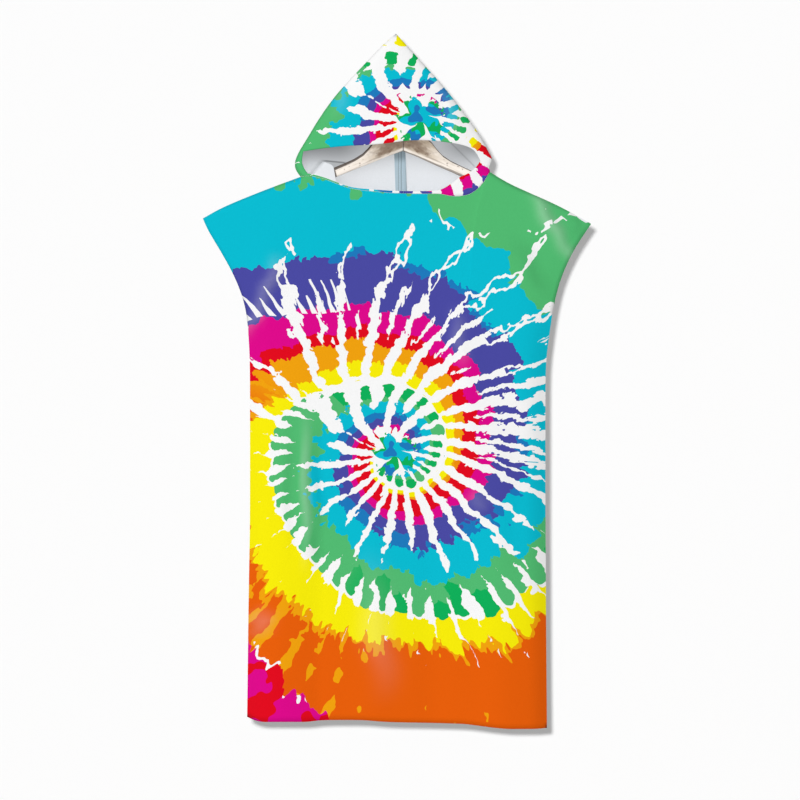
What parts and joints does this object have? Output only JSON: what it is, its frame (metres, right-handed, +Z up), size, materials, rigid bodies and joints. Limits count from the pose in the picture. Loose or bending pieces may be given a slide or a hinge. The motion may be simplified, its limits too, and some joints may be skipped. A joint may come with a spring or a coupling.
{
  "type": "hooded towel poncho on a wooden hanger",
  "caption": "Flat hooded towel poncho with open sleeve slits and a face opening, hanging by a wooden hanger whose arms run under its shoulders.",
  "frame": {"origin": "inside of the crown of the hanger's hook, where a rail carries the hanger", "axes": "+Z up, along the poncho's length; the front with the face opening faces -Y; +X to the right as seen from the front"},
  "size_m": [0.7559, 0.0531, 1.3561],
  "materials": {
    "print_cloth": "brushed microfibre towelling, spiral tie-dye outside, off-white inside",
    "tape_cloth": "plain woven tape",
    "hanger_wood": "pale weathered wood",
    "hook_steel": "plated wire"
  },
  "bodies": {
    "root": {"front_panel": "print_cloth", "back_panel": "print_cloth", "hood": "print_cloth", "hood_seam_tape": "tape_cloth", "hanger_arm_left": "hanger_wood", "hanger_arm_right": "hanger_wood", "hanger_hook": "hook_steel"}
  },
  "joints": []
}
